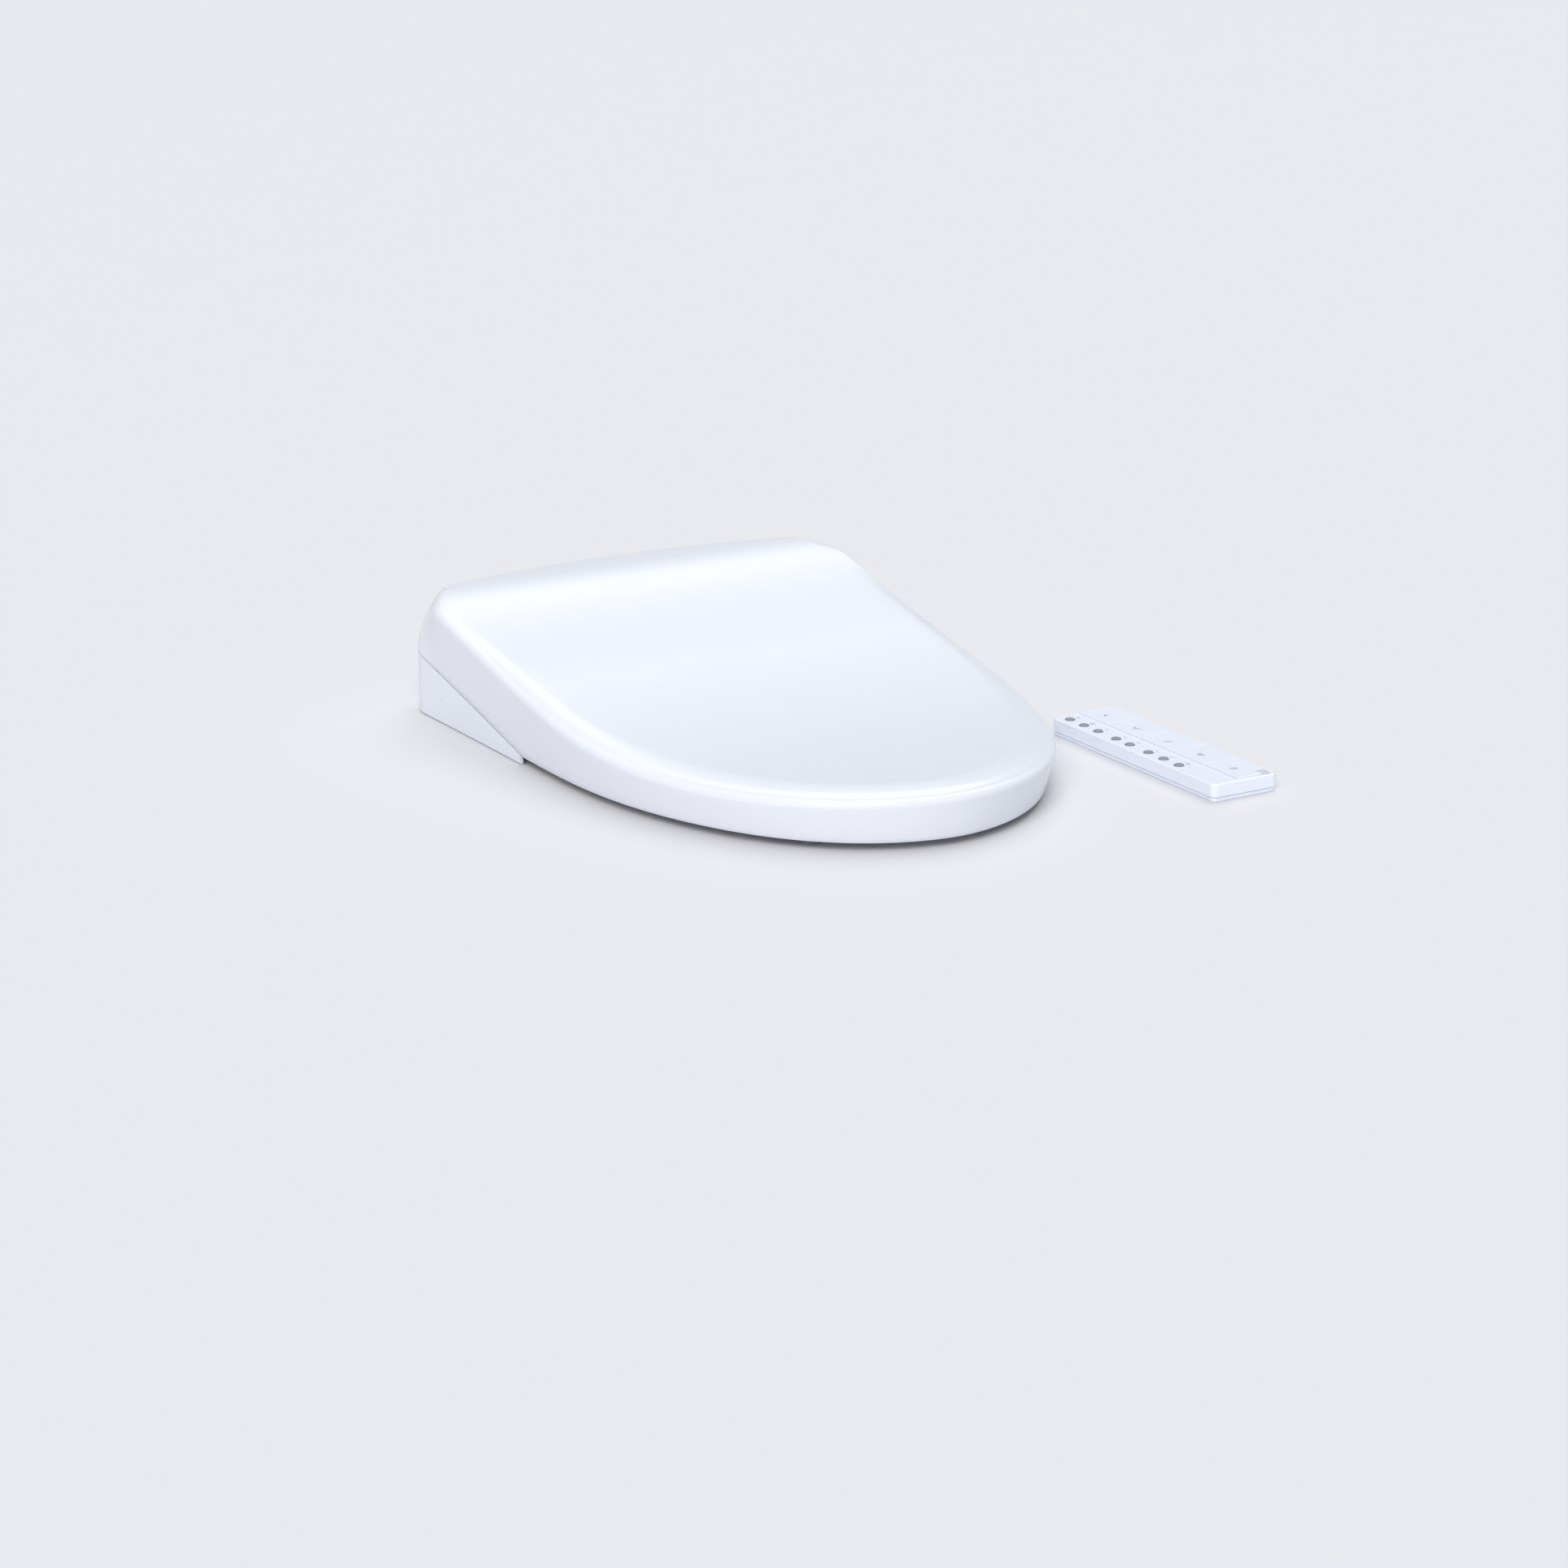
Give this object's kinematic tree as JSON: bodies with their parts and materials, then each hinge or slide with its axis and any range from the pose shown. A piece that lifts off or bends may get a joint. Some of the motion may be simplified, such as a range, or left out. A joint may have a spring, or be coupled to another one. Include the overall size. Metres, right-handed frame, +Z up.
{
  "type": "electric bidet seat",
  "caption": "Elongated bidet toilet seat: closed lid over a heated seat and a washing unit with a sliding nozzle, with its flat remote control beside it.",
  "frame": {"origin": "midpoint between the two mounting bolts, on the underside of the mounting plate, in the plane of the bowl rim", "axes": "+Z up from the bowl rim, -Y towards the front of the seat, +X to the right-hand side seen from above with the front down"},
  "size_m": [0.4611, 0.5482, 0.101],
  "materials": {
    "white_gloss": "glossy, very slightly cool white",
    "side_panel": "semi-gloss white",
    "white_satin": "satin",
    "rubber_grey": "matt",
    "dark_plastic": "matt moulded",
    "steel": "brushed",
    "circuit_board": "satin lacquer",
    "hose_plastic": "translucent matt",
    "smoked": "glossy smoked",
    "key_grey": "satin",
    "remote_white": "satin"
  },
  "bodies": {
    "mount": {"mounting_plate": "dark_plastic", "plate_bolt_left": "steel", "plate_bolt_right": "steel"},
    "unit": {"base_tray": "side_panel", "top_casing": "white_gloss", "foot_rear_left": "rubber_grey", "foot_rear_right": "rubber_grey", "foot_front_left": "rubber_grey", "foot_front_right": "rubber_grey", "drain_plug": "white_satin", "sensor_window": "smoked", "hinge_pin_left": "steel", "hinge_pin_right": "steel", "seat_damper": "dark_plastic", "lid_damper": "dark_plastic", "water_heater": "hose_plastic", "water_pump": "dark_plastic", "inlet_valve": "white_satin", "inlet_fitting": "steel", "inlet_hose": "hose_plastic", "power_supply": "dark_plastic", "control_board": "circuit_board", "power_gland": "rubber_grey", "blower_housing": "dark_plastic", "dryer_duct": "white_satin", "nozzle_guide": "white_satin", "nozzle_motor": "steel"},
    "nozzle": {"nozzle_wand": "white_gloss"},
    "roller": {"drive_roller": "rubber_grey"},
    "impeller": {"blower_impeller": "white_satin"},
    "release": {"release_button": "white_satin"},
    "lid": {"lid": "white_gloss", "lid_bumper_left": "rubber_grey", "lid_bumper_right": "rubber_grey"},
    "seat": {"seat_top": "white_gloss", "seat_underside": "white_gloss", "seat_heater": "steel", "seat_bumper_rear_left": "rubber_grey", "seat_bumper_rear_right": "rubber_grey", "seat_bumper_front_left": "rubber_grey", "seat_bumper_front_right": "rubber_grey"},
    "remote": {"remote_case": "remote_white", "remote_back": "remote_white", "remote_lamp": "hose_plastic"},
    "key_1": {"remote_key_1": "remote_white"},
    "key_2": {"remote_key_2": "remote_white"},
    "key_3": {"remote_key_3": "remote_white"},
    "key_4": {"remote_key_4": "remote_white"},
    "key_5": {"remote_key_5": "remote_white"},
    "small_key_1": {"remote_small_key_1": "key_grey"},
    "small_key_2": {"remote_small_key_2": "key_grey"},
    "small_key_3": {"remote_small_key_3": "key_grey"},
    "small_key_4": {"remote_small_key_4": "key_grey"},
    "small_key_5": {"remote_small_key_5": "key_grey"},
    "small_key_6": {"remote_small_key_6": "key_grey"},
    "small_key_7": {"remote_small_key_7": "key_grey"},
    "small_key_8": {"remote_small_key_8": "key_grey"}
  },
  "joints": [
    {"name": "hinge_lid", "type": "hinge", "parent": "unit", "child": "lid", "pos_m": [0, 0.04, 0.072], "axis": [-1, 0, 0], "range_deg": [0, 107]},
    {"name": "hinge_seat", "type": "hinge", "parent": "unit", "child": "seat", "pos_m": [0, 0.04, 0.072], "axis": [-1, 0, 0], "range_deg": [0, 100]},
    {"name": "extend_nozzle", "type": "slide", "parent": "unit", "child": "nozzle", "axis": [0, -0.866, -0.5], "range_m": [0, 0.085]},
    {"name": "drive_roller", "type": "hinge", "parent": "unit", "child": "roller", "pos_m": [0, -0.06546, 0.05138], "axis": [-1, 0, 0], "range_deg": [0, 609]},
    {"name": "fan_spin", "type": "hinge", "parent": "unit", "child": "impeller", "pos_m": [0.047, -0.046, 0.036], "axis": [1, 0, 0], "continuous": true},
    {"name": "quick_release_slide", "type": "slide", "parent": "mount", "child": "unit", "axis": [0, -1, 0], "range_m": [0, 0.035]},
    {"name": "lift_remote", "type": "slide", "parent": "mount", "child": "remote", "axis": [0, 0, 1], "range_m": [0, 0.12]},
    {"name": "press_release", "type": "slide", "parent": "unit", "child": "release", "axis": [-1, 0, 0], "range_m": [0, 0.003], "stiffness_N_per_m": 400},
    {"name": "press_key_1", "type": "slide", "parent": "remote", "child": "key_1", "axis": [0, 0, -1], "range_m": [0, 0.0008], "stiffness_N_per_m": 1200},
    {"name": "press_key_2", "type": "slide", "parent": "remote", "child": "key_2", "axis": [0, 0, -1], "range_m": [0, 0.0008], "stiffness_N_per_m": 1200},
    {"name": "press_key_3", "type": "slide", "parent": "remote", "child": "key_3", "axis": [0, 0, -1], "range_m": [0, 0.0008], "stiffness_N_per_m": 1200},
    {"name": "press_key_4", "type": "slide", "parent": "remote", "child": "key_4", "axis": [0, 0, -1], "range_m": [0, 0.0008], "stiffness_N_per_m": 1200},
    {"name": "press_key_5", "type": "slide", "parent": "remote", "child": "key_5", "axis": [0, 0, -1], "range_m": [0, 0.0008], "stiffness_N_per_m": 1200},
    {"name": "press_small_key_1", "type": "slide", "parent": "remote", "child": "small_key_1", "axis": [0, 0, -1], "range_m": [0, 0.0008], "stiffness_N_per_m": 800},
    {"name": "press_small_key_2", "type": "slide", "parent": "remote", "child": "small_key_2", "axis": [0, 0, -1], "range_m": [0, 0.0008], "stiffness_N_per_m": 800},
    {"name": "press_small_key_3", "type": "slide", "parent": "remote", "child": "small_key_3", "axis": [0, 0, -1], "range_m": [0, 0.0008], "stiffness_N_per_m": 800},
    {"name": "press_small_key_4", "type": "slide", "parent": "remote", "child": "small_key_4", "axis": [0, 0, -1], "range_m": [0, 0.0008], "stiffness_N_per_m": 800},
    {"name": "press_small_key_5", "type": "slide", "parent": "remote", "child": "small_key_5", "axis": [0, 0, -1], "range_m": [0, 0.0008], "stiffness_N_per_m": 800},
    {"name": "press_small_key_6", "type": "slide", "parent": "remote", "child": "small_key_6", "axis": [0, 0, -1], "range_m": [0, 0.0008], "stiffness_N_per_m": 800},
    {"name": "press_small_key_7", "type": "slide", "parent": "remote", "child": "small_key_7", "axis": [0, 0, -1], "range_m": [0, 0.0008], "stiffness_N_per_m": 800},
    {"name": "press_small_key_8", "type": "slide", "parent": "remote", "child": "small_key_8", "axis": [0, 0, -1], "range_m": [0, 0.0008], "stiffness_N_per_m": 800}
  ],
  "couplings": [
    {"joint": "hinge_seat", "follows": "hinge_lid", "ratio": 0.9341},
    {"joint": "drive_roller", "follows": "extend_nozzle", "rad_per_m": 125}
  ]
}
